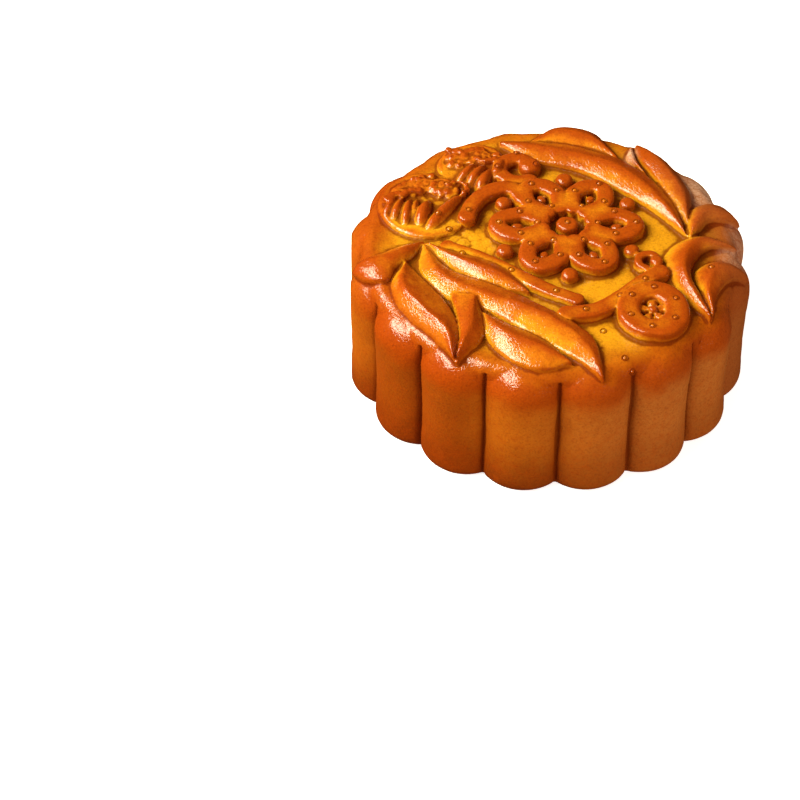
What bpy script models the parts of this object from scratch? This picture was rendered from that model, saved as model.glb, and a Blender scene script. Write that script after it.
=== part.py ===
"""A Cantonese mooncake: one pressed and baked cake with sixteen flutes round its side and a carved top.

Metres, +Z up. The origin is the centre of the flat underside. The carving is drawn on the flat, as
on a mould, and laid over the rounded shoulder of the cake, so that its leaves hang over the rim.
"""

import math

import bpy
import bmesh
from mathutils import Vector
from mathutils.geometry import delaunay_2d_cdt

MM = 0.001

# The cake, in millimetres.
CREST_RADIUS = 40.0  # centre to the crest of a flute
FLUTES = 16
FIRST_CREST = math.radians(-100.31)  # direction of a crest near the front, from +X
FLUTE_RADIUS = 9.26  # each flute is part of an upright cylinder
FLUTE_STEPS = (-1.0, -0.62, -0.21, 0.21, 0.62)  # parts of a flute's half width, from its groove on
SHOULDER_RADIUS = 6.0  # rounding of a flute's upper end
SHOULDER_STEPS = (0, 20, 42, 66)  # degrees of that rounding
CORE_RADIUS = 37.3  # the body seen at the bottom of the grooves
CORE_ROUNDING = 3.3
FOOT_RADIUS = 2.5  # rounding of the bottom edge
WAIST = 0.4  # how far the side draws in at half height
TOP = 30.3  # height of the ground between the carvings

# The carving, in millimetres. A section gives, for parts of the width, the part of the height there.
DRAFT = 0.35  # how far a cut edge slopes outwards, so that the mould lets go
BAR_BEVEL = 0.6
LEAF_SECTION = ((0.0, 1.0), (0.6, 0.84), (1.0, 0.45))
BOSS_SECTION = ((0.0, 1.0), (0.5, 1.0), (0.85, 0.85), (1.0, 0.55))
BEAD_SECTION = ((0.0, 1.0), (0.5, 1.0), (1.0, 0.65))
PAD_SECTION = ((0.0, 1.0), (0.9, 1.0), (1.0, 0.5))
MERGE = 0.06  # lines that cross closer than this share a point
WELD = 0.03  # points of the laid surface closer than this become one
SLIVER = 0.005  # faces flatter than this are dissolved

FLAT_RADIUS = CREST_RADIUS - SHOULDER_RADIUS
SHOULDER_FOOT = TOP - SHOULDER_RADIUS
DRAWING_RADIUS = FLAT_RADIUS + SHOULDER_RADIUS * math.pi / 2

CRUST_COLOUR = (0.56, 0.20, 0.035, 1.0)
CRUST_ROUGHNESS = 0.35


# ---------------------------------------------------------------- drawing on the flat

def curve(points, count):
    """Points along a cubic curve with four control points."""
    path = []
    for i in range(count):
        t = i / (count - 1)
        weights = ((1 - t) ** 3, 3 * t * (1 - t) ** 2, 3 * t * t * (1 - t), t**3)
        path.append(sum((Vector(p) * w for p, w in zip(points, weights)), Vector((0, 0))))
    return path


def along(angle):
    return Vector((math.cos(angle), math.sin(angle)))


def turned(point, angle):
    c, s = math.cos(angle), math.sin(angle)
    return Vector((point[0] * c - point[1] * s, point[0] * s + point[1] * c))


def ring(centre, radii, sides, tilt=0.0):
    """Points round a circle or an oval."""
    path = []
    for k in range(sides):
        way = along(2 * math.pi * k / sides)
        path.append(Vector(centre) + turned((way.x * radii[0], way.y * radii[1]), tilt))
    return path


def loop_lines(path):
    return [(path[i], path[(i + 1) % len(path)]) for i in range(len(path))]


def open_lines(path):
    return list(zip(path, path[1:]))


# ---------------------------------------------------------------- strokes and buttons
# A carved piece is a pair: the lines drawn for it, and its height above the ground at any point.

def left_of(path, i, closed):
    """Unit vector to the left of the path at its point i."""
    last = len(path) - 1
    before = path[i - 1] if i > 0 or closed else path[0]
    after = path[(i + 1) % len(path)] if i < last or closed else path[last]
    way = (after - before).normalized()
    return Vector((-way.y, way.x))


def beside(path, widths, part, extra, closed, cap):
    """Lines at a part of the stroke's width on both sides of it, joined round its ends."""
    sides = [left_of(path, i, closed) for i in range(len(path))]
    left = [p + s * (w[0] * part + extra) for p, s, w in zip(path, sides, widths)]
    right = [p - s * (w[1] * part + extra) for p, s, w in zip(path, sides, widths)]
    if closed:
        return loop_lines(left) + loop_lines(right)
    caps = []
    for i in (-1, 0):
        middle = (left[i] + right[i]) / 2
        start = left[i] - middle if i == -1 else right[i] - middle
        caps.append([middle + turned(start, -math.pi * k / (cap + 1)) for k in range(1, cap + 1)])
    return loop_lines(left + caps[0] + right[::-1] + caps[1])


def nearest(path, spot, closed):
    """Distance to the path, side (left is positive) and position along it, in steps."""
    best = None
    count = len(path) if closed else len(path) - 1
    for i in range(count):
        start, end = path[i], path[(i + 1) % len(path)]
        run = end - start
        t = max(0.0, min(1.0, (spot - start).dot(run) / run.length_squared))
        apart = spot - (start + run * t)
        if best is None or apart.length < best[0]:
            best = (apart.length, run.cross(spot - start), i + t)
    return best


def share(section, part):
    """The part of the height that a section has at a part of the width."""
    for (near, up), (far, down) in zip(section, section[1:]):
        if part <= far:
            return up + (down - up) * (part - near) / (far - near)
    return section[-1][1]


def stroke(path, widths, heights, section, closed=False, cap=1):
    """A raised line. Each of its points has a width to the left and to the right, and a height."""
    lines = beside(path, widths, 1.0, DRAFT, closed, cap)
    for part, up in section[1:]:
        lines += beside(path, widths, part, 0.0, closed, cap)
    has_ridge = section[0][1] > section[1][1]
    if has_ridge:
        lines += open_lines(path)
    reach = max(max(pair) for pair in widths) + DRAFT
    low = Vector((min(p.x for p in path) - reach, min(p.y for p in path) - reach))
    high = Vector((max(p.x for p in path) + reach, max(p.y for p in path) + reach))

    def height_at(spot):
        if not (low.x < spot.x < high.x and low.y < spot.y < high.y):
            return 0.0
        apart, side, step = nearest(path, spot, closed)
        blend = step % 1
        i = int(step) % len(path)
        j = (i + 1) % len(path) if closed else min(i + 1, len(path) - 1)
        which = 0 if side > 0 else 1
        wide = widths[i][which] * (1 - blend) + widths[j][which] * blend
        if apart > wide + DRAFT / 2:
            return 0.0
        high_here = heights[i] * (1 - blend) + heights[j] * blend
        return high_here * share(section, min(apart / wide, 1.0))

    return lines, height_at


def leaf(points, left, right, height, stations=9):
    """A pointed leaf with a ridge along its curve, left and right wide on the ridge's two sides."""
    widths, heights = [], []
    for i in range(stations):
        fullness = max(math.sin(math.pi * i / (stations - 1)), 0.0) ** 0.7
        size = 0.1 + 0.9 * fullness
        widths.append((left * size, right * size))
        heights.append(height * math.sqrt(size))
    return stroke(curve(points, stations), widths, heights, LEAF_SECTION)


def bar(path, width, height, closed=False):
    """A flat-topped stroke with round ends."""
    half = width / 2
    section = ((0.0, 1.0), (1 - BAR_BEVEL / half, 1.0), (1.0, 1 - BAR_BEVEL / height))
    return stroke(path, [(half, half)] * len(path), [height] * len(path), section, closed, cap=3)


def rib(path, width, height, ground):
    """A thin round-backed stroke on a pad."""
    half = width / 2
    top = ground + height
    section = ((0.0, 1.0), (1.0, (ground + 0.4 * height) / top))
    return stroke(path, [(half, half)] * len(path), [top] * len(path), section)


def button(centre, radii, height, section, tilt=0.0, sides=16):
    """A low round or oval boss."""
    centre = Vector(centre)
    foot = (radii[0] + DRAFT, radii[1] + DRAFT)
    lines = loop_lines(ring(centre, foot, sides, tilt))
    for part, up in section[1:]:
        lines += loop_lines(ring(centre, (radii[0] * part, radii[1] * part), sides, tilt))

    def height_at(spot):
        out = turned(spot - centre, -tilt)
        part = math.hypot(out.x / radii[0], out.y / radii[1])
        if part > 1 + DRAFT / 2 / min(radii):
            return 0.0
        return height * share(section, min(part, 1.0))

    return lines, height_at


# ---------------------------------------------------------------- the carving

LEAVES = (
    # ridge from root to tip, width left and right of it, height
    (((-24.3, -1.0), (-18.0, -5.5), (-12.5, -11.5), (-4.5, -15.5)), 2.0, 4.0, 2.3),
    (((-24.8, -2.0), (-19.0, -18.0), (4.0, -14.0), (8.7, -37.5)), 1.4, 5.2, 2.6),
    (((-15.3, -15.5), (-14.5, -21.0), (-15.5, -28.0), (-19.3, -34.0)), 2.0, 4.2, 2.1),
    (((-28.7, -5.5), (-30.0, -19.0), (-18.5, -19.5), (-19.5, -34.3)), 3.2, 4.0, 2.5),
    (((-13.8, -22.0), (-8.0, -27.5), (-3.0, -31.0), (3.2, -34.8)), 1.8, 5.2, 2.2),
    (((-26.0, -2.5), (-30.0, -3.5), (-34.0, -5.5), (-38.5, -8.5)), 4.2, 3.6, 2.1),
    (((-9.0, 31.5), (8.0, 30.0), (25.0, 19.0), (27.3, 2.5)), 1.6, 5.0, 2.6),
    (((-3.0, 30.5), (3.0, 35.0), (11.0, 34.0), (15.5, 23.5)), 2.2, 4.5, 2.3),
    (((20.0, 28.5), (23.5, 24.0), (28.0, 16.5), (27.8, 7.5)), 1.6, 3.6, 2.4),
    (((17.3, 29.5), (16.8, 26.0), (17.5, 24.0), (20.0, 20.5)), 1.2, 1.2, 1.6),
    (((28.2, 2.0), (27.5, 11.0), (34.0, 11.5), (38.5, 5.0)), 1.3, 4.0, 2.4),
    (((36.5, -1.0), (29.0, 5.0), (21.0, -7.0), (30.5, -22.5)), 2.2, 4.4, 2.5),
    (((38.5, -8.0), (34.0, -3.5), (29.0, -8.0), (30.8, -20.5)), 3.2, 2.8, 2.5),
)


def blossom():
    """An open flower of six arched petals round a boss, with a berry between each two."""
    centre = Vector((3.5, 4.5))
    petals, width, height = 6, 3.2, 2.3
    root, shoulder, reach, half = 3.8, 9.5, 13.5, 3.7
    leg = [Vector((root, -1.6)), Vector((6.3, -2.8)), Vector((8.0, -3.5))]
    arch = []
    for angle in range(-90, 91, 30):
        way = along(math.radians(angle))
        arch.append(Vector((shoulder + way.x * (reach - shoulder), way.y * half)))
    outline = leg + arch + [Vector((spot.x, -spot.y)) for spot in reversed(leg)]
    made = [button(centre, (3.6, 3.6), 3.0, BOSS_SECTION, sides=12)]
    for k in range(petals):
        turn = 2 * math.pi * k / petals
        path = [centre + turned(spot, turn) for spot in outline]
        made.append(bar(path, width, height))
        spot = centre + turned((14.3, 0.0), turn + math.pi / petals)
        made.append(button(spot, (1.5, 1.5), 1.9, BEAD_SECTION, sides=8))
    return made


def curl(centre, radius, start, sweep, width, height=2.1, points=8):
    """A hook that winds inwards through sweep degrees and ends in a ball."""
    path = []
    for i in range(points):
        t = i / (points - 1)
        reach = radius * (1 - 0.45 * t)
        path.append(Vector(centre) + along(math.radians(start + sweep * t)) * reach)
    ball = width * 0.72
    return [bar(path, width, height), button(path[-1], (ball, ball), height + 0.4, BOSS_SECTION, sides=10)]


def branches():
    """Two twigs under the flower, and three cloud curls round it."""
    long_twig = curve(((-20.0, -1.5), (-12.0, -3.0), (-3.0, -13.5), (4.5, -17.0)), 8)
    short_twig = curve(((2.5, -21.5), (9.0, -21.5), (13.5, -14.5), (21.0, -9.5)), 7)
    made = [bar(long_twig, 2.8, 1.8), bar(short_twig, 3.2, 2.2)]
    made += curl((-5.8, 22.3), 4.3, 300, -285, 2.7)
    made += curl((-16.6, 4.9), 3.6, -60, 285, 2.4)
    made += curl((19.2, -6.0), 2.5, 250, -270, 1.9)
    return made


def fan(centre, radii, hub, spread, near, far):
    """An oval pad with a fan of round ribs, from near to far, and a bead at the root of each."""
    ribs, rib_width, rib_height = 6, 1.7, 1.2
    pad_tilt, pad_height = math.radians(20), 0.8
    bead_radius, bead_gap = 0.85, 2.1
    made = [button(centre, radii, pad_height, PAD_SECTION, pad_tilt, sides=20)]
    for k in range(ribs):
        way = along(math.radians(spread[0] + (spread[1] - spread[0]) * k / (ribs - 1)))
        path = [Vector(hub) + way * (near + (far - near) * t) for t in (0.0, 0.5, 1.0)]
        made.append(rib(path, rib_width, rib_height, pad_height))
        spot = Vector(hub) + way * (near - bead_gap)
        made.append(button(spot, (bead_radius, bead_radius), pad_height + 1.0, BEAD_SECTION, sides=6))
    return made


def flower_disc():
    """A thick ring with a small five-petalled flower in it, close to the right front rim."""
    centre = Vector((19.0, -20.6))
    petals, petal_radius, petal_reach = 5, 1.05, 2.25
    made = [
        bar(ring(centre, (5.3, 6.1), 20), 3.6, 2.7, closed=True),
        button(centre, (1.0, 1.0), 2.3, BEAD_SECTION, sides=8),
    ]
    for k in range(petals):
        spot = centre + along(math.radians(90 + 360 * k / petals)) * petal_reach
        made.append(button(spot, (petal_radius, petal_radius), 1.9, BEAD_SECTION, sides=6))
    return made


def carving():
    made = [leaf(*row) for row in LEAVES]
    made += blossom() + branches() + flower_disc()
    made += fan((-25.2, 11.4), (9.4, 9.2), (-18.3, 18.6), (187, 250), 5.6, 12.6)
    made += fan((-15.6, 25.4), (7.4, 6.6), (-10.0, 31.2), (195, 262), 5.0, 10.2)
    return made


# ---------------------------------------------------------------- the fluted body

def rounded(distance, radius):
    """How far a rounded edge draws in at this distance beyond where its rounding starts."""
    inside = min(max(distance, 0.0), radius)
    return radius - math.sqrt(radius * radius - inside * inside)


def body_radius(around, z):
    """Outer radius in a direction, at height z: the flutes, or the core in the grooves."""
    pitch = 2 * math.pi / FLUTES
    from_crest = abs((around - FIRST_CREST + pitch / 2) % pitch - pitch / 2)
    foot = rounded(FOOT_RADIUS - z, FOOT_RADIUS)
    waist = WAIST * math.sin(math.pi * min(z / SHOULDER_FOOT, 1.0)) ** 2
    core = CORE_RADIUS - rounded(z - (TOP - CORE_ROUNDING), CORE_ROUNDING) - foot - waist
    flute = FLUTE_RADIUS - rounded(z - SHOULDER_FOOT, SHOULDER_RADIUS) - foot - waist
    centre = CREST_RADIUS - FLUTE_RADIUS
    aside = centre * math.sin(from_crest)
    if flute <= aside:
        return core
    return max(core, centre * math.cos(from_crest) + math.sqrt(flute * flute - aside * aside))


def flute_directions():
    pitch = 2 * math.pi / FLUTES
    return [FIRST_CREST + (k + part / 2) * pitch for k in range(FLUTES) for part in FLUTE_STEPS]


def laid(spot, height):
    """A point of the flat drawing, laid over the crown and the shoulder of the cake."""
    flat = spot.length
    turn = max((flat - FLAT_RADIUS) / SHOULDER_RADIUS, 0.0)
    if height <= 0:
        z = SHOULDER_FOOT + SHOULDER_RADIUS * math.cos(turn)
        radius = flat if turn == 0 else body_radius(math.atan2(spot.y, spot.x), z)
    else:
        z = SHOULDER_FOOT + (SHOULDER_RADIUS + height) * math.cos(turn)
        radius = min(flat, FLAT_RADIUS) + (SHOULDER_RADIUS + height) * math.sin(turn)
    if flat < 1e-9:
        return Vector((0.0, 0.0, z)) * MM
    return Vector((spot.x * radius / flat, spot.y * radius / flat, z)) * MM


def shoulder_lines():
    """The upright and the level lines of the fluted shoulder, on the flat."""
    rows = []
    for angle in SHOULDER_STEPS + (90,):
        flat = FLAT_RADIUS + SHOULDER_RADIUS * math.radians(angle)
        rows.append([along(way) * flat for way in flute_directions()])
    lines = []
    for row in rows:
        lines += loop_lines(row)
    for inner, outer in zip(rows, rows[1:]):
        lines += list(zip(inner, outer))
    return lines


def cake_mesh(name):
    """The carved crown over the shoulder, then the side, then the flat underside."""
    pieces = carving()
    lines = shoulder_lines()
    for drawn, height_at in pieces:
        lines += drawn
    ends = [end for line in lines for end in line]
    pairs = [(2 * i, 2 * i + 1) for i in range(len(lines))]
    flat, edges, faces = delaunay_2d_cdt(ends, pairs, [], 0, MERGE)[:3]

    bm = bmesh.new()
    crown = []
    for spot in flat:
        spot = Vector(spot)
        height = max(height_at(spot) for drawn, height_at in pieces)
        crown.append(bm.verts.new(laid(spot, height)))
    for face in faces:
        bm.faces.new([crown[i] for i in face])
    bmesh.ops.remove_doubles(bm, verts=bm.verts, dist=WELD * MM)
    bmesh.ops.dissolve_degenerate(bm, edges=bm.edges, dist=SLIVER * MM)

    rim = sorted((v for v in bm.verts if v.is_boundary), key=lambda v: math.atan2(v.co.y, v.co.x))
    above = rim
    for z in (SHOULDER_FOOT / 2, FOOT_RADIUS, 0.8, 0.0):
        row = []
        for vertex in rim:
            around = math.atan2(vertex.co.y, vertex.co.x)
            radius = body_radius(around, z)
            row.append(bm.verts.new(Vector((radius * math.cos(around), radius * math.sin(around), z)) * MM))
        for i in range(len(rim)):
            j = (i + 1) % len(rim)
            bm.faces.new((above[i], above[j], row[j], row[i]))
        above = row
    bm.faces.new(above)
    bmesh.ops.recalc_face_normals(bm, faces=bm.faces)
    mesh = bpy.data.meshes.new(name)
    bm.to_mesh(mesh)
    bm.free()
    return mesh


# ---------------------------------------------------------------- the whole cake

def crust_material():
    material = bpy.data.materials.new("baked_crust")
    material.use_nodes = True
    shader = material.node_tree.nodes["Principled BSDF"]
    shader.inputs["Base Color"].default_value = CRUST_COLOUR
    shader.inputs["Roughness"].default_value = CRUST_ROUGHNESS
    shader.inputs["Metallic"].default_value = 0.0
    return material


def build():
    for obj in list(bpy.data.objects):
        bpy.data.objects.remove(obj, do_unlink=True)
    cake = bpy.data.objects.new("mooncake", cake_mesh("mooncake"))
    bpy.context.scene.collection.objects.link(cake)
    cake.data.materials.append(crust_material())
    cake.data.shade_smooth()
    cake.data.set_sharp_from_angle(angle=math.radians(35))


build()
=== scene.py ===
"""The looks of a Cantonese mooncake: a fluted, carved and egg-washed cake, fused into one crust."""

import math

import bpy
import numpy as np
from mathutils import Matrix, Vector


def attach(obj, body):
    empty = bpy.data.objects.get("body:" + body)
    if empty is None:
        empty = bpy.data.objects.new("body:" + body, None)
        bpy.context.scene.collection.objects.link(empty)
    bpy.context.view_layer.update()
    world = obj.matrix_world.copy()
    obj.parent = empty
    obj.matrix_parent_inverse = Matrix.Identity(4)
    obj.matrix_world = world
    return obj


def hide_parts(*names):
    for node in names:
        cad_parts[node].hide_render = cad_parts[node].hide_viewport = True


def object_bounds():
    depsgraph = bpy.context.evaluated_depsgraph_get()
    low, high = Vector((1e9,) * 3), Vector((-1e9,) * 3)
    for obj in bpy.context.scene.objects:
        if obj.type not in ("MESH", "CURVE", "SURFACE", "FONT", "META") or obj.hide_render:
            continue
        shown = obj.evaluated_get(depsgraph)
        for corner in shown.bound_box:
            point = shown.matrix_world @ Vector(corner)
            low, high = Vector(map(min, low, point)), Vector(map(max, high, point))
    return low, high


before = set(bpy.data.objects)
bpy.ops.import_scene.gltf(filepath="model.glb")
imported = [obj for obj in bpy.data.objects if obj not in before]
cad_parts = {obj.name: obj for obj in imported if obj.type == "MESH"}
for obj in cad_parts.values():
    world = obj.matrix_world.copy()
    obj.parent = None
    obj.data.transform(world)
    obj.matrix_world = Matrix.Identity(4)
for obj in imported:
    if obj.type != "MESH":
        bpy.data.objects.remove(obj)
cad_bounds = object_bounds()


# ---------------------------------------------------------------- the fluted cake
# Filling wrapped in syrup dough and pressed into a mould, so it is one solid lump. The mould gives
# sixteen upright flutes with round shoulders, a line between each two, and a flat underside.

mm = 0.001
flutes = 16
crest_radius = 39.9 * mm
flute_radius = 9.25 * mm
shoulder_radius = 6.0 * mm
core_radius = 37.3 * mm
core_rounding = 3.0 * mm
foot_radius = 2.6 * mm
waist = 0.4 * mm
top = 30.3 * mm  # the ground between the carvings
first_crest = math.radians(-100.31)
flat_radius = crest_radius - shoulder_radius
shoulder_foot = top - shoulder_radius


def edit(piece, kind="VERT"):
    """Opens one piece for editing, with nothing selected."""
    bpy.ops.object.select_all(action="DESELECT")
    piece.select_set(True)
    bpy.context.view_layer.objects.active = piece
    bpy.ops.object.mode_set(mode="EDIT")
    bpy.ops.mesh.select_mode(type=kind)
    bpy.ops.mesh.select_all(action="DESELECT")
    bpy.ops.object.mode_set(mode="OBJECT")


def round_rim(piece, height, width, segments):
    """Rounds the edge that runs round the piece at this height."""
    edit(piece, "EDGE")
    points = piece.data.vertices
    for edge in piece.data.edges:
        edge.select = all(abs(points[i].co.z - height) < 0.01 * mm for i in edge.vertices)
    bpy.ops.object.mode_set(mode="EDIT")
    bpy.ops.mesh.bevel(offset=width, segments=segments, affect="EDGES")
    bpy.ops.object.mode_set(mode="OBJECT")


def upright(radius, depth, place, sides):
    """A cylinder whose foot is at its place."""
    bpy.ops.object.select_all(action="DESELECT")
    middle = (place[0], place[1], place[2] + depth / 2)
    bpy.ops.mesh.primitive_cylinder_add(vertices=sides, radius=radius, depth=depth, location=middle)
    bpy.ops.object.transform_apply(location=True, rotation=True, scale=True)
    return bpy.context.object


def join(pieces, name):
    bpy.ops.object.select_all(action="DESELECT")
    for piece in pieces:
        piece.select_set(True)
    bpy.context.view_layer.objects.active = pieces[0]
    bpy.ops.object.join()
    pieces[0].name = name
    return pieces[0]


core = upright(core_radius, top, (0, 0, 0), 160)
round_rim(core, top, core_rounding, 8)
round_rim(core, 0, foot_radius, 6)

reach = crest_radius - flute_radius
flute = upright(flute_radius, top, (reach * math.cos(first_crest), reach * math.sin(first_crest), 0), 96)
round_rim(flute, top, shoulder_radius, 14)
round_rim(flute, 0, foot_radius, 6)
edit(flute)
bpy.ops.object.mode_set(mode="EDIT")
bpy.ops.mesh.select_all(action="SELECT")
turn = math.tau * (flutes - 1) / flutes
bpy.ops.mesh.spin(steps=flutes - 1, dupli=True, angle=turn, center=(0, 0, 0), axis=(0, 0, 1))
bpy.ops.object.mode_set(mode="OBJECT")

body = join([flute, core], "fluted_body")


# ---------------------------------------------------------------- the leaf sprays
# Long pointed leaves cut into the mould: a spray at the left front, one at the back and one that
# hooks over the right rim. Each has a ridge, a broad slope that ends in a lip, and a steep side.

sink = 4.5 * mm  # a carved piece reaches this deep, so that it closes the grooves under it


def smooth_line(points, count):
    """Evenly spread places on a smooth line through the points, which are in millimetres."""
    points = np.array(points) * mm
    spots = np.vstack((2 * points[0] - points[1], points, 2 * points[-1] - points[-2]))
    line = []
    for i in range(len(points) - 1):
        before, start, end, after = spots[i : i + 4]
        for t in np.linspace(0, 1, 40, endpoint=False):
            bow = start + 0.5 * t * (end - before)
            bow += 0.5 * t**2 * (2 * before - 5 * start + 4 * end - after)
            bow += 0.5 * t**3 * (3 * start - before - 3 * end + after)
            line.append(bow)
    line.append(points[-1])
    line = np.array(line)
    along = np.concatenate(([0], np.cumsum(np.hypot(*np.diff(line, axis=0).T))))
    stations = np.linspace(0, along[-1], count)
    return np.column_stack([np.interp(stations, along, line[:, axis]) for axis in (0, 1)])


def leaf(high_side, ridge, low_side, height, lips=(0.5, 0.2), dome=1.5, ends=0.35):
    """A sheet over three lines, with its ridge on the middle one, closed down into the dough.

    lips are the parts of the height left at the high and the low side, and ends what the points keep.
    """
    along, across = 72, 24
    bpy.ops.object.select_all(action="DESELECT")
    bpy.ops.mesh.primitive_grid_add(x_subdivisions=along, y_subdivisions=across, size=2)
    sheet = bpy.context.object
    spots = np.array([point.co for point in sheet.data.vertices])
    station = np.rint((spots[:, 0] + 1) / 2 * along).astype(int)
    side = spots[:, 1]
    middle = smooth_line(ridge, along + 1)[station]
    edge = np.where(
        (side > 0)[:, None],
        smooth_line(high_side, along + 1)[station],
        smooth_line(low_side, along + 1)[station],
    )
    part = np.abs(side)
    spread = 1 - (1 - part) ** 1.25  # more rows close to the edges, where the lip turns down
    flat_spots = middle + (edge - middle) * spread[:, None]
    swell = ends + (1 - ends) * np.sin(np.pi * station / along) ** 0.7
    lip = np.where(side > 0, lips[0], lips[1])
    slope = 1 - (1 - lip) * spread**dome
    reach = np.hypot(*(edge - middle).T)
    to_edge = reach * (1 - spread)
    turn = np.clip(to_edge / (0.45 * mm), 0, 1)
    z = height * mm * swell * slope * np.sqrt(1 - (1 - turn) ** 2)
    place_all(sheet, np.column_stack((flat_spots, z)))
    edit(sheet)
    bpy.ops.object.mode_set(mode="EDIT")
    bpy.ops.mesh.select_all(action="SELECT")
    bpy.ops.mesh.remove_doubles(threshold=0.01 * mm)
    bpy.ops.mesh.region_to_loop()
    bpy.ops.mesh.extrude_edges_move(TRANSFORM_OT_translate={"value": (0, 0, -sink)})
    bpy.ops.mesh.edge_face_add()
    bpy.ops.mesh.select_all(action="SELECT")
    bpy.ops.mesh.normals_make_consistent(inside=False)
    bpy.ops.object.mode_set(mode="OBJECT")
    return sheet


def places_of(piece):
    places = np.empty(len(piece.data.vertices) * 3)
    piece.data.vertices.foreach_get("co", places)
    return places.reshape(-1, 3)


def place_all(piece, places):
    piece.data.vertices.foreach_set("co", places.ravel())
    piece.data.update()


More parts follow.
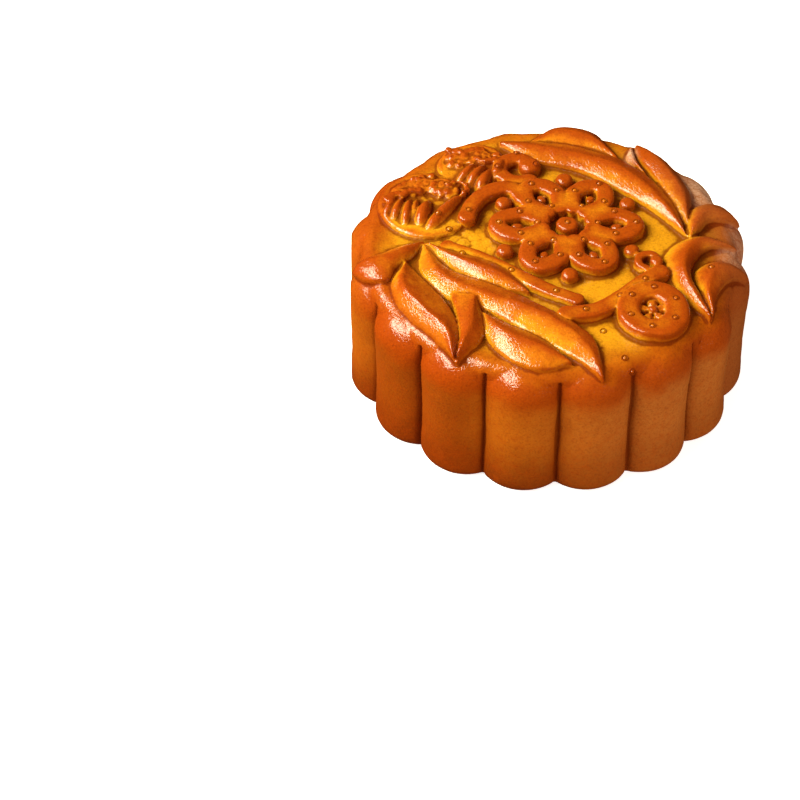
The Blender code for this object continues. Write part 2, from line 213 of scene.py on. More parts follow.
front_root = (-24.7, 0.3)
front_tip = (9.0, -38.0)
fold_tip = (-18.8, -33.2)
carving = [
    # the broad leaf on the left rim
    leaf(
        ((-24.6, 0.9), (-29.5, -0.4), (-33.5, -2.8), (-37.5, -4.0), (-38.8, -6.5)),
        ((-24.6, 0.3), (-28.9, -3.6), (-33.0, -6.2), (-38.8, -6.5)),
        ((-24.6, -0.4), (-26.9, -4.2), (-29.8, -7.6), (-32.0, -11.0), (-36.0, -10.0), (-38.8, -6.5)),
        height=2.4, lips=(0.05, 0.4), dome=2.0,
    ),
    # the inner leaf and the long one below it
    leaf(
        (front_root, (-17.3, -3.4), (-9.5, -7.6), (-4.1, -15.2)),
        (front_root, (-18.2, -6.2), (-10.7, -10.6), (-4.1, -15.2)),
        (front_root, (-21.7, -5.4), (-16.6, -10.2), (-10.7, -13.8), (-4.1, -15.2)),
        height=2.9, lips=(0.5, 0.4), dome=1.3,
    ),
    leaf(
        (front_root, (-19.3, -8.4), (-9.9, -14.0), (-0.8, -20.1), (7.2, -27.5), front_tip),
        ((-24.9, -0.6), (-20.8, -11.0), (-12.4, -17.0), (-3.0, -21.9), (4.6, -28.9), front_tip),
        ((-25.2, -0.6), (-25.5, -8.4), (-20.5, -16.4), (-12.3, -20.6), (-5.0, -26.6), (2.2, -32.2), front_tip),
        height=2.95, lips=(0.6, 0.4), dome=1.2,
    ),
    # the bent leaf, and the one folded over the long leaf
    leaf(
        ((-27.8, -5.2), (-24.4, -11.2), (-20.5, -17.7), (-18.5, -24.9), (-19.1, -33.2)),
        ((-28.3, -5.2), (-28.9, -14.0), (-25.2, -20.9), (-20.8, -26.7), (-19.1, -33.2)),
        ((-28.4, -5.2), (-31.0, -10.1), (-30.5, -16.6), (-27.3, -22.3), (-23.0, -27.4), (-19.1, -33.2)),
        height=3.0, lips=(0.4, 0.1), dome=1.15,
    ),
    leaf(
        ((-14.4, -16.3), (-13.6, -22.1), (-14.2, -28.2), fold_tip),
        ((-15.0, -16.3), (-16.4, -25.7), fold_tip),
        ((-20.2, -15.4), (-18.9, -21.2), (-18.3, -26.9), fold_tip),
        height=3.0, lips=(0.4, 0.7), dome=1.1, ends=0.8,
    ),
    # the wide leaf under the long one
    leaf(
        ((-13.8, -19.8), (-8.4, -24.1), (-2.1, -28.7), (3.2, -34.6)),
        ((-14.1, -20.2), (-9.9, -27.2), (-3.6, -31.2), (3.2, -34.6)),
        ((-14.4, -20.2), (-13.6, -26.5), (-10.0, -32.5), (-3.6, -35.9), (3.2, -34.6)),
        height=2.9, lips=(0.5, 0.25), dome=1.3,
    ),
    # the back spray
    leaf(
        ((-9.2, 32.2), (1.1, 31.0), (11.3, 27.6), (19.9, 21.4), (25.2, 12.3), (27.6, 0.8)),
        ((-9.2, 31.0), (3.6, 26.9), (15.1, 21.2), (22.8, 11.4), (27.6, 0.8)),
        ((-9.2, 30.6), (-3.0, 25.6), (6.4, 22.2), (14.2, 16.3), (21.2, 9.6), (27.6, 0.8)),
        height=2.9, lips=(0.5, 0.4), dome=1.3,
    ),
    leaf(
        ((-3.2, 31.6), (2.5, 36.4), (10.5, 34.2), (15.5, 25.0)),
        ((-3.2, 31.2), (2.5, 33.6), (9.2, 31.6), (15.5, 25.0)),
        ((-3.2, 30.8), (3.9, 30.0), (9.9, 28.0), (15.5, 25.0)),
        height=2.5, lips=(0.3, 0.5),
    ),
    leaf(
        ((19.0, 31.5), (25.4, 24.5), (29.2, 15.0), (27.6, 4.6)),
        ((18.7, 31.0), (23.8, 23.0), (27.2, 14.0), (27.6, 4.6)),
        ((18.4, 30.6), (18.9, 26.8), (22.6, 18.1), (27.6, 4.6)),
        height=2.6, lips=(0.2, 0.55),
    ),
    leaf(
        ((18.0, 30.6), (18.6, 26.0), (21.3, 20.0)),
        ((17.6, 30.4), (17.9, 24.6), (21.3, 20.0)),
        ((17.4, 30.4), (16.7, 25.8), (21.3, 20.0)),
        height=1.9,
    ),
    # the three that hook over the right rim
    leaf(
        ((27.2, 0.8), (27.5, 7.2), (29.9, 11.6), (34.9, 12.2), (38.4, 7.0)),
        ((27.4, 0.6), (29.2, 5.2), (32.5, 8.6), (38.4, 7.0)),
        ((27.6, 0.4), (29.9, 3.4), (31.9, 6.0), (34.9, 6.6), (38.4, 7.0)),
        height=2.6, lips=(0.2, 0.5),
    ),
    leaf(
        ((36.6, -1.0), (30.0, 2.6), (24.3, -0.1), (21.7, -5.9), (23.5, -11.7), (26.1, -17.6), (30.3, -22.2)),
        ((36.6, -1.4), (29.6, -0.6), (26.3, -5.3), (25.9, -11.2), (27.8, -17.0), (30.3, -22.2)),
        ((36.6, -1.8), (31.5, -2.0), (28.1, -5.8), (27.1, -11.0), (28.9, -16.1), (30.3, -22.2)),
        height=2.9, lips=(0.15, 0.5),
    ),
    leaf(
        ((39.0, -7.6), (32.7, -5.0), (28.0, -8.2), (28.5, -14.4), (30.4, -21.4)),
        ((39.0, -8.2), (33.0, -8.3), (30.6, -12.4), (29.9, -17.4), (30.4, -21.4)),
        ((39.0, -8.8), (35.0, -10.4), (31.9, -15.0), (30.4, -21.4)),
        height=2.8, lips=(0.15, 0.5),
    ),
]


# ---------------------------------------------------------------- the open flower and its twigs
# The middle of the carving: six arched petals round a boss, with a berry between each two, two
# twigs under it and three cloud curls round it. All are flat-topped strokes with steep sides.

def button(centre, radius, height, rounding, stretch=1.0, tilt=0.0, sides=48):
    """A boss with a rounded edge, which stands on the ground and reaches below it."""
    boss = upright(radius * mm, height * mm + sink, (0, 0, -sink), sides)
    round_rim(boss, height * mm, rounding * mm, 5)
    boss.scale = (1, stretch, 1)
    boss.rotation_euler.z = tilt
    boss.location = (centre[0] * mm, centre[1] * mm, 0)
    bpy.ops.object.transform_apply(location=True, rotation=True, scale=True)
    return boss


def profile(half, height):
    """The outline of a stroke: steep sides, rounded edges and a flat top, which is pulled along."""
    bpy.ops.object.select_all(action="DESELECT")
    bpy.ops.curve.primitive_bezier_circle_add()
    outline = bpy.context.object
    west, north, east, south = outline.data.splines[0].bezier_points
    for point in (west, north, east, south):
        point.handle_left_type = point.handle_right_type = "FREE"
    west.co = (-half, 0, 0)
    west.handle_left = (-half, -0.3 * height, 0)
    west.handle_right = (-half, height, 0)
    north.co = (0, height, 0)
    north.handle_left = (-half, height, 0)
    north.handle_right = (half, height, 0)
    east.co = (half, 0, 0)
    east.handle_left = (half, height, 0)
    east.handle_right = (half, -0.3 * height, 0)
    south.co = (0, -0.4 * height, 0)
    south.handle_left = (0.5 * half, -0.4 * height, 0)
    south.handle_right = (-0.5 * half, -0.4 * height, 0)
    outline.data.resolution_u = 8
    return outline


def bar(points, width, height, closed=False):
    """A flat-topped stroke through its points, with round ends. It reaches below the ground."""
    outline = profile(width / 2 * mm, height * mm)
    bpy.ops.object.select_all(action="DESELECT")
    bpy.ops.curve.primitive_bezier_curve_add()
    spine = bpy.context.object
    spline = spine.data.splines[0]
    spline.bezier_points.add(len(points) - 2)
    for spot, point in zip(points, spline.bezier_points):
        point.co = (spot[0] * mm, spot[1] * mm, 0)
        point.handle_left_type = point.handle_right_type = "AUTO"
    spline.use_cyclic_u = closed
    spine.data.resolution_u = 10
    spine.data.bevel_mode = "OBJECT"
    spine.data.bevel_object = outline
    spine.data.use_fill_caps = True
    bpy.ops.object.convert(target="MESH")
    stroke = bpy.context.object
    bpy.data.objects.remove(outline)
    edit(stroke)
    for point in stroke.data.vertices:
        point.select = point.co.z < -0.01 * mm
    bpy.ops.object.mode_set(mode="EDIT")
    bpy.ops.transform.resize(value=(1, 1, 0), center_override=(0, 0, -sink))
    bpy.ops.object.mode_set(mode="OBJECT")
    pieces = [stroke]
    if not closed:
        for end in (points[0], points[-1]):
            pieces.append(button(end, width / 2, height, 0.16 * width))
    return pieces


flower_centre = Vector((3.5, 4.5))
petals = 6
petal_outline = ((5.2, -1.5), (7.0, -2.6), (9.8, -3.3), (13.6, 0), (9.8, 3.3), (7.0, 2.6), (5.2, 1.5))
carving.append(button(flower_centre, 2.3, 2.5, 0.9))
for k in range(petals):
    angle = math.tau * k / petals
    c, s = math.cos(angle), math.sin(angle)
    points = [flower_centre + Vector((x * c - y * s, x * s + y * c)) for x, y in petal_outline]
    carving += bar(points, 3.7, 2.45)
    seed = flower_centre + 9.8 * Vector((c, s))
    carving.append(button(seed, 1.15, 1.5, 0.6, stretch=0.75, tilt=angle))
    between = angle + math.pi / petals
    berry = flower_centre + 14.4 * Vector((math.cos(between), math.sin(between)))
    carving.append(button(berry, 1.7, 2.0, 1.0))

carving += bar(((-20.0, -1.5), (-14.5, -4.3), (-8.0, -8.9), (-1.5, -13.8), (4.5, -17.0)), 3.2, 1.8)
carving += bar(((2.5, -21.5), (8.0, -20.4), (12.8, -17.0), (17.0, -12.8), (21.0, -9.5)), 3.8, 2.3)


def curl(centre, radius, start, sweep, width, height=2.1):
    """A hook that winds inwards through sweep degrees and ends in a ball."""
    points = []
    for i in range(8):
        t = i / 7
        angle = math.radians(start + sweep * t)
        reach = radius * (1 - 0.45 * t)
        points.append((centre[0] + reach * math.cos(angle), centre[1] + reach * math.sin(angle)))
    return bar(points, width, height) + [button(points[-1], width * 0.72, height + 0.4, width * 0.4)]


carving += curl((-5.8, 22.3), 4.5, 300, -285, 3.2)
carving += bar(((-16.0, 6.8), (-14.8, 11.0), (-11.6, 14.8), (-7.4, 15.6), (-5.2, 12.6)), 3.6, 2.4)
carving += curl((19.2, -6.0), 2.5, 250, -270, 1.9)


# ---------------------------------------------------------------- the fans
# Two low oval pads on the left shoulder. Each carries a fan of plump ribs like fingers, under a
# wavy crest, with beads and a frill of knobs at its root.

def finger(start, end, width, height):
    """A rib with a round back, narrower at its root than at its round tip."""
    start, end = Vector(start), Vector(end)
    bpy.ops.object.select_all(action="DESELECT")
    bpy.ops.mesh.primitive_uv_sphere_add(segments=24, ring_count=16, radius=1)
    rib = bpy.context.object
    way = end - start
    for point in rib.data.vertices:
        point.co.y *= 0.85 + 0.15 * point.co.x
    rib.scale = ((way.length / 2 + width / 4) * mm, width / 2 * mm, height * mm)
    rib.rotation_euler.z = math.atan2(way.y, way.x)
    middle = (start + end) / 2
    rib.location = (middle.x * mm, middle.y * mm, 0)
    bpy.ops.object.transform_apply(location=True, rotation=True, scale=True)
    return rib


front_pad = (-24.1, 11.6)
back_pad = (-14.8, 23.9)
carving.append(button(front_pad, 9.2, 1.0, 0.8, stretch=1.08, tilt=math.radians(12), sides=80))
carving.append(button(back_pad, 7.2, 1.0, 0.8, stretch=0.98, tilt=math.radians(20), sides=80))
ribs = (
    ((-29.6, 13.2), (-32.1, 8.2), 2.3, 2.4),
    ((-28.4, 12.8), (-30.4, 7.0), 2.6, 2.6),
    ((-27.0, 12.4), (-28.3, 5.4), 2.8, 2.8),
    ((-25.5, 12.6), (-26.8, 6.4), 2.0, 2.3),
    ((-23.4, 11.6), (-25.4, 5.4), 3.7, 2.9),
    ((-16.8, 13.8), (-23.6, 4.0), 3.8, 3.0),
    ((-14.4, 23.4), (-17.8, 18.8), 2.8, 2.6),
    ((-12.6, 23.0), (-15.8, 17.6), 3.0, 2.7),
    ((-11.2, 21.6), (-13.9, 16.0), 3.3, 2.9),
    ((-8.6, 24.8), (-10.9, 19.2), 3.1, 2.8),
)
for rib in ribs:
    carving.append(finger(*rib))
mounds = (
    ((-26.2, 16.0), 4.9, 1.9, 0.55, 20), ((-20.6, 15.6), 3.4, 2.2, 0.75, -20), ((-15.6, 26.0), 5.0, 1.8, 0.5, 5),
)
for centre, radius, height, stretch, bearing in mounds:
    carving.append(button(centre, radius, height, 1.3, stretch=stretch, tilt=math.radians(bearing)))
beads = (
    (-23.1, 15.0), (-21.2, 13.9), (-24.9, 19.2), (-23.0, 19.9), (-20.6, 16.6), (-25.0, 16.4),
    (-19.2, 23.8), (-17.6, 23.4), (-19.0, 26.2), (-16.2, 25.2), (-14.4, 26.4), (-12.0, 26.2), (-10.0, 26.6),
)
for bead in beads:
    carving.append(button(bead, 0.95, 1.8, 0.7, sides=24))
carving += bar(((-31.4, 11.8), (-30.0, 13.3), (-28.4, 13.3), (-27.0, 14.6), (-25.6, 14.6)), 1.7, 2.4)
carving += bar(((-26.4, 18.2), (-24.6, 18.0), (-22.8, 17.6), (-21.0, 18.2), (-19.2, 17.4)), 1.5, 2.0)
carving += bar(((-19.6, 27.6), (-18.0, 27.2), (-16.4, 26.9), (-14.8, 28.0), (-13.0, 28.0)), 1.5, 2.1)
carving += bar(((-14.2, 24.9), (-12.4, 24.2), (-10.4, 24.9)), 1.3, 2.3)
for k in range(6):
    turn = math.radians(150 - 40 * k)
    carving.append(button((-18.0 + 1.9 * math.cos(turn), 14.9 + 1.9 * math.sin(turn)), 0.65, 2.9, 0.5, sides=20))


# ---------------------------------------------------------------- the flower disc
# A thick round bead close to the right front rim: a ring with a small five-petalled flower in it.

disc = Vector((19.0, -20.6))
ring_points = []
for k in range(8):
    angle = math.tau * k / 8
    ring_points.append((disc.x + 4.7 * math.cos(angle), disc.y + 5.4 * math.sin(angle)))
carving += bar(ring_points, 4.8, 2.8, closed=True)
carving.append(button(disc, 0.85, 2.4, 0.5))
for k in range(5):
    angle = math.tau * (0.25 + k / 5)
    spot = disc + 1.75 * Vector((math.cos(angle), 1.15 * math.sin(angle)))
    carving.append(button(spot, 0.9, 1.9, 0.6))


# ---------------------------------------------------------------- the crust
# Mould, dough and oven make one skin of it all: the carving is laid over the crown and shoulder,
# fused with the body, and softened as dough softens when it rises.

relief = join(carving, "carving")


def laid(places):
    """Points of the flat drawing, laid over the crown and round the shoulder."""
    flat = np.hypot(places[:, 0], places[:, 1])
    bend = np.maximum(flat - flat_radius, 0) / shoulder_radius
    lift = shoulder_radius + places[:, 2]
    ratio = (np.minimum(flat, flat_radius) + lift * np.sin(bend)) / np.maximum(flat, 0.001 * mm)
    z = shoulder_foot + lift * np.cos(bend)
    return np.column_stack((places[:, 0] * ratio, places[:, 1] * ratio, z))


place_all(relief, laid(places_of(relief)))

cake = join([body, relief], "crust")


def finish(piece, kind, **settings):
    """Adds one modifier to a piece and applies it."""
    bpy.ops.object.select_all(action="DESELECT")
    piece.select_set(True)
    bpy.context.view_layer.objects.active = piece
    step = piece.modifiers.new(kind.lower(), kind)
    for name, value in settings.items():
        setattr(step, name, value)
    bpy.ops.object.modifier_apply(modifier=step.name)


grain = 0.25 * mm
finish(cake, "REMESH", mode="VOXEL", voxel_size=grain)
finish(cake, "SMOOTH", factor=0.5, iterations=2)

# Dough is never quite even, and it draws into a tight crease between two flutes.
crease_depth = 0.75 * mm
crease_width = 0.45 * mm
crease_top = 28.4 * mm
places = places_of(cake)
around = np.arctan2(places[:, 1], places[:, 0])
radius = np.hypot(places[:, 0], places[:, 1])
pitch = math.tau / flutes
off_groove = (around - first_crest) % pitch - pitch / 2
aside = np.abs(off_groove) * radius
fade = np.clip((crease_top - places[:, 2]) / (0.6 * mm), 0, 1) * np.clip(places[:, 2] / (2 * mm), 0, 1)
outer = np.clip((radius - 34 * mm) / (2 * mm), 0, 1)
push = crease_depth * np.exp(-((aside / crease_width) ** 2)) * fade * outer
push += waist * np.sin(np.pi * np.clip(places[:, 2] / shoulder_foot, 0, 1)) ** 2 * outer
for bearing, swelling, spread in ((158, 1.0, 20), (-166, 0.5, 16), (40, -0.5, 24)):
    off = (np.degrees(around) - bearing + 180) % 360 - 180
    push -= swelling * mm * np.exp(-((off / spread) ** 2)) * np.clip(radius / (40 * mm), 0, 1)
places[:, 0] -= push * np.cos(around)
places[:, 1] -= push * np.sin(around)
place_all(cake, places)


def weigh(piece, name, weights):
    """Keeps how much of a modifier each point takes."""
    group = piece.vertex_groups.new(name=name)
    for step in range(1, 11):
        chosen = np.nonzero(np.rint(weights * 10) == step)[0].tolist()
        group.add(chosen, step / 10, "REPLACE")
    return name


def texture(name, kind, size, **settings):
    made = bpy.data.textures.new(name, kind)
    made.noise_scale = size * mm
    for setting, value in settings.items():
        setattr(made, setting, value)
    return made


flat = np.hypot(places[:, 0], places[:, 1])
above = weigh(cake, "above", np.clip(places[:, 2] / (3 * mm), 0, 1))
crown_only = np.clip((places[:, 2] - 25 * mm) / (3 * mm), 0, 1)
glazed = weigh(cake, "glazed", crown_only)
off_pebbles = np.hypot((places[:, 0] + 17 * mm) / 1.5, places[:, 1] - 2 * mm)
pebbly = np.clip(1.4 - off_pebbles / (6 * mm), 0.0, 0.8) * crown_only
pebbly *= np.clip((top + 0.7 * mm - places[:, 2]) / (0.5 * mm), 0, 1)
pebbly = weigh(cake, "pebbly", pebbly)
clouds = texture("unevenness", "CLOUDS", 7, noise_depth=2)
finish(cake, "DISPLACE", texture=clouds, strength=0.45 * mm, mid_level=0.5, vertex_group=above)
crinkles = texture("crinkles", "CLOUDS", 1.5, noise_depth=1)
finish(cake, "DISPLACE", texture=crinkles, strength=0.1 * mm, mid_level=0.5, vertex_group=glazed)
off_crests = np.full(len(places), 99.0)
for centre, radius, height, stretch, bearing in mounds:
    off = np.hypot(places[:, 0] - centre[0] * mm, (places[:, 1] - centre[1] * mm) / (stretch + 0.15)) / (radius * mm)
    off_crests = np.minimum(off_crests, off)
scaly = weigh(cake, "scaly", np.clip(2.6 - 2 * off_crests, 0, 1) * crown_only)
scales = texture("scales", "VORONOI", 1.3)
finish(cake, "DISPLACE", texture=scales, strength=-0.5 * mm, mid_level=0.4, vertex_group=scaly)
pebbles = texture("pebbles", "VORONOI", 2.2)
finish(cake, "DISPLACE", texture=pebbles, strength=-0.5 * mm, mid_level=0.4, vertex_group=pebbly)
cake.vertex_groups.clear()


def keep_in_size(piece):
    """Presses the piece flat wherever it would be larger than its real size."""
    margin = 0.03 * mm
    low_corner, high_corner = (np.array(corner) for corner in cad_bounds)
    place_all(piece, np.clip(places_of(piece), low_corner + (margin, margin, 0), high_corner - margin))


keep_in_size(cake)


def next_to(mesh):
    """The two ends of every edge, and how many neighbours each point has."""
    ends = np.empty(len(mesh.edges) * 2, dtype=np.int64)
    mesh.edges.foreach_get("vertices", ends)
    ends = ends.reshape(-1, 2)
    return ends, np.bincount(ends.ravel(), minlength=len(mesh.vertices))


def averaged(places, ends, count, times):
    """Places after each point has moved to the middle of its neighbours that many times."""
    for step in range(times):
        total = np.empty_like(places)
        for axis in range(3):
            column = places[:, axis]
            total[:, axis] = np.bincount(ends[:, 0], column[ends[:, 1]], len(count))
            total[:, axis] += np.bincount(ends[:, 1], column[ends[:, 0]], len(count))
        places = 0.5 * places + 0.5 * total / count[:, None]
    return places


def remember(mesh, name, values):
    """Keeps one number for each point, for the crust's finish to read."""
    mesh.attributes.new(name, "FLOAT", "POINT").data.foreach_set("value", values.astype(np.float32))


places = places_of(cake)
normals = np.empty(len(places) * 3)
cake.data.vertices.foreach_get("normal", normals)
normals = normals.reshape(-1, 3)
ends, count = next_to(cake.data)
rounds = 4
near = averaged(places, ends, count, 6 * rounds)
wide = averaged(near, ends, count, 40 * rounds)
remember(cake.data, "cut", ((near - places) * normals).sum(1) / mm)
remember(cake.data, "hollow", ((wide - places) * normals).sum(1) / mm)
flat = np.hypot(places[:, 0], places[:, 1])
# Pale patches on the back right shoulder and the thin back leaf: partly floury, unglazed crust, partly painted sheen.
flour_and_sheen = np.clip(1.5 - np.hypot(places[:, 0] - 33.5 * mm, places[:, 1] - 18.5 * mm) / (6 * mm), 0, 1)
slip_leaf = np.clip(1.6 - np.hypot((places[:, 0] - 17.2 * mm) / 0.6, places[:, 1] - 27.0 * mm) / (2.6 * mm), 0, 1)
# Painted shade: steep walls and slopes facing right and back are marked darker, as if shaded from a light on the left;
# walls facing left less so.
steep = np.clip((0.72 - normals[:, 2]) / 0.3, 0, 1)
faces_away_from_key = np.clip(1.9 * (0.85 * normals[:, 0] + 0.4 * normals[:, 1]) - 0.15, 0, 1)
dull = np.clip((places[:, 0] + 0.25 * places[:, 1] - 27 * mm) / (6 * mm), 0, 1)
remember(cake.data, "dull", dull)
over_shoulder = np.hypot(flat - flat_radius, places[:, 2] - shoulder_foot) - shoulder_radius
rise = np.where(flat > flat_radius, over_shoulder, places[:, 2] - top)
rise = np.where(places[:, 2] < shoulder_foot, 0, rise)
remember(cake.data, "rise", np.clip(rise, 0, 4 * mm) / mm)
around = np.arctan2(places[:, 1], places[:, 0])
off_groove = (around - first_crest) % pitch - pitch / 2
# Painted shade: the sides are darker close to each groove between two flutes.
groove_shade = np.exp(-((off_groove * np.hypot(places[:, 0], places[:, 1]) / (1.4 * mm)) ** 2))
remember(cake.data, "groove_shade", groove_shade * np.clip((flat - 33 * mm) / (3 * mm), 0, 1) * np.clip(1 - rise / (0.5 * mm), 0, 1))
raised = np.clip(rise / (0.2 * mm), 0, 1)
to_left = np.clip(-1.6 * normals[:, 0], 0, 0.7)
remember(cake.data, "painted_wall_shade", np.maximum(steep * (0.8 - to_left), faces_away_from_key) * raised * (1 - 0.5 * dull))
flour_and_sheen *= np.clip((places[:, 2] - 20 * mm) / (6 * mm), 0, 1)
# pale spots on the flutes under the right hooks: painted sheen
for x, y, amount in ((38.5, 4.0, 0.5), (36.5, -3.2, 0.45), (39.0, -1.5, 0.4)):
    off = np.hypot(places[:, 0] - x * mm, places[:, 1] - y * mm)
    flour_and_sheen = np.maximum(flour_and_sheen, amount * np.clip(1.4 - off / (3.2 * mm), 0, 1) * np.clip((places[:, 2] - 18 * mm) / (6 * mm), 0, 1))
flour_and_sheen *= np.clip(1.4 - rise / (0.8 * mm), 0, 1)
slip_leaf *= np.clip((19.3 * mm - places[:, 0]) / (1 * mm), 0, 1)
remember(cake.data, "flour_and_sheen", np.maximum(flour_and_sheen, slip_leaf * np.clip(rise / (1 * mm), 0, 1)))

faces_before = len(cake.data.polygons)
edit(cake)
for point in cake.data.vertices:
    point.select = point.co.z < 0.1 * mm
bpy.ops.object.mode_set(mode="EDIT")
bpy.ops.mesh.decimate(ratio=0.03)
bpy.ops.mesh.select_all(action="DESELECT")
bpy.ops.object.mode_set(mode="OBJECT")
for point in cake.data.vertices:
    point.select = 0.05 * mm < point.co.z < shoulder_foot
bpy.ops.object.mode_set(mode="EDIT")
bpy.ops.mesh.decimate(ratio=0.15)
bpy.ops.mesh.quads_convert_to_tris()
bpy.ops.object.mode_set(mode="OBJECT")
triangles = sum(len(face.vertices) - 2 for face in cake.data.polygons)
print("crust faces", faces_before, "triangles", triangles)
most = 165000
if triangles > most:
    finish(cake, "DECIMATE", ratio=most / triangles)
print("crust triangles", len(cake.data.polygons))

# Each vent of the mould leaves a pip: a small knob in a thin ring.
bpy.ops.object.select_all(action="DESELECT")
bpy.ops.mesh.primitive_torus_add(
    major_segments=16, minor_segments=6, major_radius=0.6 * mm, minor_radius=0.16 * mm
)
ring = bpy.context.object
bpy.ops.mesh.primitive_uv_sphere_add(segments=12, ring_count=6, radius=0.4 * mm)
knob = bpy.context.object
knob.scale.z = 0.7
bpy.ops.object.transform_apply(location=True, rotation=True, scale=True)
pip = join([ring, knob], "pip")
from_middle = np.hypot(*places_of(pip).T[:2])
# The ring is marked as a crease, which the finish darkens: partly pooled egg wash, partly painted shade.
remember(pip.data, "cut", np.where(from_middle > 0.42 * mm, 0.12, 0.0))

pip_spots = [(9.3, -24.7), (13.0, -32.3), (14.7, -34.8), (-17.5, -4.0), (-8.0, -9.0), (0.5, -15.0)]
pip_spots += [(6.0, -20.9), (12.8, -17.0), (18.0, -12.0), (-20.3, 16.7), (-22.2, 7.0), (31.0, -9.0)]
pip_spots += [(-10.0, 21.5), (-6.0, 26.5), (-2.2, 22.5), (-20.0, 4.0), (-16.0, 8.4)]
pip_spots.append(tuple(flower_centre))
for k in range(petals):
    angle = math.tau * k / petals
    c, s = math.cos(angle), math.sin(angle)
    for x, y in ((13.6, 0), (9.4, 3.3), (9.4, -3.3), (6.0, 0.0)):
        pip_spots.append((flower_centre.x + x * c - y * s, flower_centre.y + x * s + y * c))
for k in range(6):
    angle = math.tau * (k + 0.4) / 6
    pip_spots.append((disc.x + 4.9 * math.cos(angle), disc.y + 5.6 * math.sin(angle)))
pips = []
for x, y in pip_spots:
    inside, outside = laid(np.array([[x, y, -2.0], [x, y, 6.0]]) * mm)
    way = Vector(inside - outside).normalized()
    found, spot, facing, face = cake.ray_cast(Vector(outside), way)
    if not found:
        continue
    copy = pip.copy()
    copy.data = pip.data.copy()
    under = cake.data.attributes["rise"].data[cake.data.polygons[face].vertices[0]].value
    remember(copy.data, "rise", np.full(len(from_middle), under + 0.7))
    bpy.context.collection.objects.link(copy)
    copy.location = spot
    copy.rotation_euler = (facing - 0.6 * way).to_track_quat("Z", "Y").to_euler()
    bpy.ops.object.select_all(action="DESELECT")
    copy.select_set(True)
    bpy.context.view_layer.objects.active = copy
    bpy.ops.object.transform_apply(location=True, rotation=True, scale=True)
    pips.append(copy)
bpy.data.objects.remove(pip)
cake = join([cake] + pips, "crust")
keep_in_size(cake)
cake.data.shade_smooth()

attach(cake, "root")
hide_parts("mooncake")

crust = bpy.data.materials.new("egg_washed_crust")
crust.use_nodes = True
net = crust.node_tree
shader = net.nodes["Principled BSDF"]


def feed(socket, value):
    """Gives a socket a plain value, or what another node makes."""
    if hasattr(value, "is_output"):
        net.links.new(value, socket)
    else:
        socket.default_value = value


def sums(kind, a, b=0.5, c=0.5, clamp=False):
    node = net.nodes.new("ShaderNodeMath")
    node.operation = kind
    node.use_clamp = clamp
    for socket, value in zip(node.inputs, (a, b, c)):
        feed(socket, value)
    return node.outputs[0]


def between(value, low, high):
    """0 at low, 1 at high, and soft at both ends."""
    node = net.nodes.new("ShaderNodeMapRange")
    node.interpolation_type = "SMOOTHSTEP"
    feed(node.inputs["Value"], value)
    feed(node.inputs["From Min"], low)
    feed(node.inputs["From Max"], high)
    return node.outputs["Result"]


def over(amount, under, top_colour):
    """Lays one colour over another."""
    node = net.nodes.new("ShaderNodeMix")
    node.data_type = "RGBA"
    feed(node.inputs["Factor"], amount)
    feed(node.inputs["A"], under if hasattr(under, "is_output") else (*under, 1))
    feed(node.inputs["B"], top_colour if hasattr(top_colour, "is_output") else (*top_colour, 1))
    return node.outputs["Result"]


def kept(name):
    node = net.nodes.new("ShaderNodeAttribute")
    node.attribute_name = name
    return node.outputs["Fac"]


where = net.nodes.new("ShaderNodeTexCoord").outputs["Object"]


def mottle(size, detail=2.0, roughness=0.5):
    """Soft random patches of about this size, in millimetres."""
    node = net.nodes.new("ShaderNodeTexNoise")
    feed(node.inputs["Vector"], where)
    node.inputs["Scale"].default_value = 1 / (size * mm)
    node.inputs["Detail"].default_value = detail
    node.inputs["Roughness"].default_value = roughness
    return node.outputs["Fac"]


def cells(size, feature="F1"):
    node = net.nodes.new("ShaderNodeTexVoronoi")
    node.feature = feature
    feed(node.inputs["Vector"], where)
    node.inputs["Scale"].default_value = 1 / (size * mm)
    return node.outputs["Distance"]


split = net.nodes.new("ShaderNodeSeparateXYZ")
feed(split.inputs[0], where)
height = split.outputs["Z"]

gold = (0.68, 0.310, 0.0080)
amber = (0.56, 0.160, 0.0040)
baked = (0.35, 0.057, 0.0015)
dark = (0.11, 0.010, 0.0004)
rim_orange = (0.40, 0.094, 0.0020)
rim_red = (0.32, 0.044, 0.0010)
side_paste = (0.43, 0.112, 0.0055)
side_red = (0.34, 0.046, 0.0012)
side_shadow_brown = (0.20, 0.028, 0.0007)
side_low_shade = (0.16, 0.026, 0.0016)
side_tan = (0.41, 0.125, 0.0200)
dull_brown = (0.24, 0.062, 0.013)
painted_shade_brown = (0.20, 0.026, 0.0008)
flour_and_sheen_white = (0.62, 0.40, 0.27)

rise_now = kept("rise")
hollow = kept("hollow")
cut = kept("cut")
dull = kept("dull")
flour_and_sheen = kept("flour_and_sheen")
patches = mottle(6, 3, 0.6)
small_patches = mottle(1.6, 3, 0.6)
specks = mottle(0.5, 2, 0.6)


def swing(value, size):
    """The value's swing about its middle, in both directions."""
    return sums("MULTIPLY", sums("SUBTRACT", value, 0.5), size)


across_squared = sums("MULTIPLY", split.outputs["X"], split.outputs["X"])
from_middle = sums("SQRT", sums("MULTIPLY_ADD", split.outputs["Y"], split.outputs["Y"], across_squared))
rim = between(sums("ADD", from_middle, swing(patches, 8 * mm)), 29 * mm, 36 * mm)

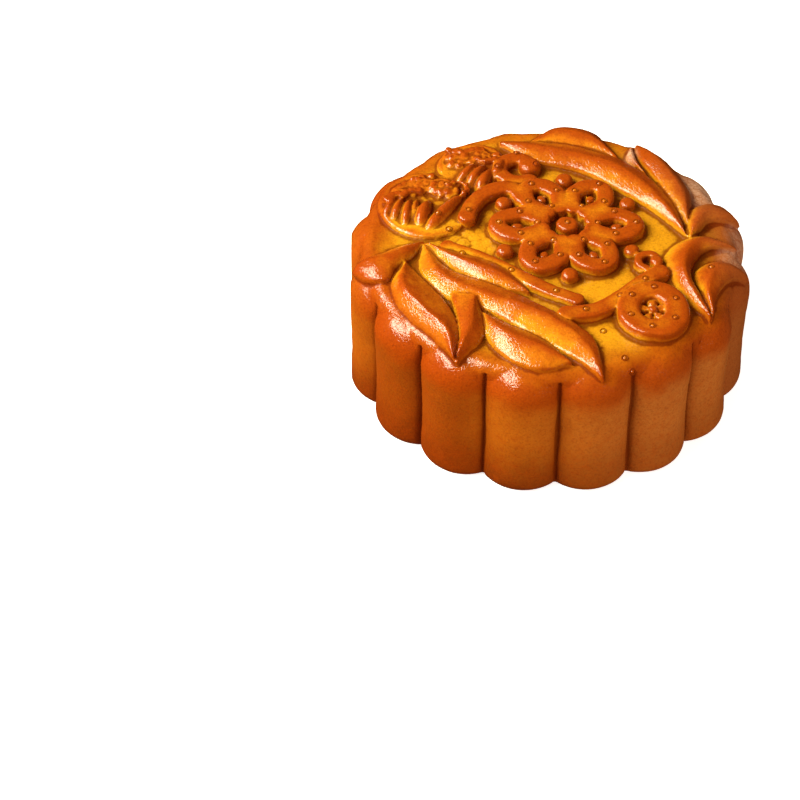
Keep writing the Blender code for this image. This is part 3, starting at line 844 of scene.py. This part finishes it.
crest = sums("MAXIMUM", sums("MULTIPLY", hollow, -2.7), 0.0)
browned = sums("MULTIPLY_ADD", rise_now, 0.46, crest)
# painted shade: the marked walls are also browned more
browned = sums("MULTIPLY_ADD", kept("painted_wall_shade"), 1.0, browned)
at_back = between(split.outputs["Y"], 10 * mm, 26 * mm)
browned = sums("MULTIPLY_ADD", at_back, 0.55, browned)
browned = sums("ADD", browned, sums("ADD", swing(patches, 1.7), swing(small_patches, 0.9)))
crown_colour = over(between(browned, 0.2, 1.4), over(rim, gold, rim_orange), amber)
crown_colour = over(between(browned, 0.9, 2.3), crown_colour, baked)
outermost = between(sums("ADD", from_middle, swing(patches, 6 * mm)), 34 * mm, 39 * mm)
crown_colour = over(sums("MULTIPLY", outermost, 0.55), crown_colour, rim_red)
left_rim = sums("MULTIPLY", between(split.outputs["X"], -16 * mm, -34 * mm), rim)
crown_colour = over(sums("MULTIPLY", left_rim, 0.5), crown_colour, rim_red)

up_side = sums("ADD", height, swing(patches, 6 * mm))
to_right = between(split.outputs["X"], -12 * mm, 24 * mm)
side_colour = over(to_right, side_paste, side_tan)
# painted shade: the sides darken towards the bottom, more on the left than on the right
low_side_shade = sums("MULTIPLY", between(up_side, 16 * mm, 1 * mm), sums("MULTIPLY_ADD", to_right, -0.5, 1.0))
side_colour = over(low_side_shade, side_colour, side_low_shade)
# painted shadow: the flutes at the left front are darker
left_front = between(sums("ADD", split.outputs["X"], split.outputs["Y"]), -46.5 * mm, -54 * mm)
side_colour = over(sums("MULTIPLY", left_front, 0.7), side_colour, side_shadow_brown)
side_colour = over(sums("MULTIPLY", between(small_patches, 0.35, 0.8), 0.35), side_colour, side_red)
redness = sums("MULTIPLY", between(up_side, 20.5 * mm, 26 * mm), between(split.outputs["X"], -44 * mm, -34 * mm))
side_colour = over(sums("MULTIPLY", redness, 0.9), side_colour, rim_red)
colour = over(between(up_side, 27.5 * mm, 30 * mm), side_colour, crown_colour)
# painted shade beside the grooves
colour = over(sums("MULTIPLY", kept("groove_shade"), 0.35), colour, painted_shade_brown)
# painted shade on the marked walls
colour = over(sums("MULTIPLY", kept("painted_wall_shade"), 0.7), colour, painted_shade_brown)
colour = over(sums("MULTIPLY", dull, 0.75), colour, dull_brown)
# painted shade: darker in the hollows round the carving
colour = over(sums("MULTIPLY", between(hollow, 0.1, 0.6), 0.45), colour, dark)
# dark thin lines in the creases and pip rings: partly egg wash pooled there, partly painted shade
creases = sums("MULTIPLY", between(cut, 0.02, 0.1), sums("MULTIPLY_ADD", between(height, 22 * mm, 27 * mm), 0.35, 0.35))
colour = over(creases, colour, dark)
# the pale patches: partly floury crust, partly painted sheen
floury_and_sheen = sums("MULTIPLY", flour_and_sheen, sums("MULTIPLY_ADD", between(cells(1.3, "DISTANCE_TO_EDGE"), 0.0, 0.12), 0.5, 0.5))
floury_and_sheen = sums("MULTIPLY", floury_and_sheen, between(small_patches, 0.0, 0.55))
colour = over(sums("MULTIPLY", floury_and_sheen, 0.85), colour, flour_and_sheen_white)
colour = over(sums("MULTIPLY", between(specks, 0.42, 0.8), 0.36), colour, dark)
grain_marks = mottle(0.3, 2, 0.7)
colour = over(sums("MULTIPLY", between(grain_marks, 0.5, 0.85), 0.5), colour, side_red)
colour = over(sums("MULTIPLY", between(grain_marks, 0.5, 0.15), 0.3), colour, side_paste)
feed(shader.inputs["Base Color"], colour)

crown = between(height, 23 * mm, 28 * mm)
glaze = sums("MULTIPLY", crown, sums("MULTIPLY_ADD", dull, -0.75, 1.0))
glaze = sums("MULTIPLY", glaze, sums("SUBTRACT", 1.0, flour_and_sheen, clamp=True))
glaze = sums("MULTIPLY", glaze, between(cut, 0.08, 0.01))
glaze = sums("MULTIPLY", glaze, sums("MULTIPLY_ADD", between(cells(0.8, "DISTANCE_TO_EDGE"), 0.0, 0.14), 0.65, 0.35))
glaze = sums("MULTIPLY_ADD", glaze, 0.9, 0.05)
feed(shader.inputs["Coat Weight"], sums("MULTIPLY", glaze, between(specks, 0.0, 0.5)))
feed(shader.inputs["Roughness"], sums("MULTIPLY_ADD", small_patches, 0.15, 0.5))
shader.inputs["Coat Roughness"].default_value = 0.09
shader.inputs["Coat IOR"].default_value = 1.7
shader.inputs["Specular IOR Level"].default_value = 0.03

pits = sums("MULTIPLY", mottle(0.45, 3, 0.6), 0.8)
crackle = sums("MULTIPLY", between(cells(0.7, "DISTANCE_TO_EDGE"), 0.0, 0.25), 0.5)
bumps = net.nodes.new("ShaderNodeBump")
bumps.inputs["Distance"].default_value = 0.06 * mm
bumps.inputs["Strength"].default_value = 0.7
feed(bumps.inputs["Height"], sums("ADD", pits, crackle))
feed(shader.inputs["Normal"], bumps.outputs["Normal"])
feed(shader.inputs["Coat Normal"], bumps.outputs["Normal"])

cake.data.materials.clear()
cake.data.materials.append(crust)


# ---------------------------------------------------------------- the studio

bpy.ops.mesh.primitive_plane_add(size=6, location=(0, 0, 0))
floor = bpy.context.object
floor.name = "floor"
paper = bpy.data.materials.new("white_paper")
paper.use_nodes = True
paper.node_tree.nodes["Principled BSDF"].inputs["Base Color"].default_value = (0.9, 0.9, 0.9, 1)
paper.node_tree.nodes["Principled BSDF"].inputs["Roughness"].default_value = 0.9
paper.node_tree.nodes["Principled BSDF"].inputs["Emission Color"].default_value = (1, 1, 1, 1)
paper.node_tree.nodes["Principled BSDF"].inputs["Emission Strength"].default_value = 0.8
floor.data.materials.append(paper)
floor.visible_glossy = False
floor.visible_diffuse = False

world = bpy.data.worlds.new("studio")
world.use_nodes = True
world.node_tree.nodes["Background"].inputs["Color"].default_value = (1.0, 0.74, 0.52, 1)
world.node_tree.nodes["Background"].inputs["Strength"].default_value = 0.5
world.cycles_visibility.glossy = False
bpy.context.scene.world = world


def softbox(place, width, height, radiance, colour=(1, 1, 1)):
    """A rectangular light that faces the cake."""
    bpy.ops.object.light_add(type="AREA", location=place)
    lamp = bpy.context.object
    lamp.data.shape = "RECTANGLE"
    lamp.data.size = width
    lamp.data.size_y = height
    lamp.data.color = colour
    lamp.data.energy = radiance * math.pi * width * height
    lamp.rotation_euler = (Vector((0, 0, 0.02)) - lamp.location).to_track_quat("-Z", "Y").to_euler()
    return lamp


softbox((-0.40, -0.06, 0.445), 0.62, 0.27, 13.2, (1.0, 0.94, 0.72))
shine = softbox((-0.40, -0.06, 0.445), 0.62, 0.27, 8.0, (1.0, 0.97, 0.88))
shine.visible_diffuse = False
fill = softbox((0.38, -0.50, 0.10), 0.40, 0.20, 9.0, (1.0, 0.94, 0.82))
fill.visible_glossy = False
glow = softbox((-0.56, 0.0, 0.13), 0.30, 0.20, 9.0, (1.0, 0.98, 0.55))
glow.visible_glossy = False

bpy.ops.object.camera_add(location=(-0.02972, -0.44736, 0.42116), rotation=(math.radians(45.92), 0, 0))
camera = bpy.context.object
camera.data.lens = 135
camera.data.sensor_width = 36
bpy.context.scene.camera = camera
bpy.context.scene.view_settings.view_transform = "Standard"
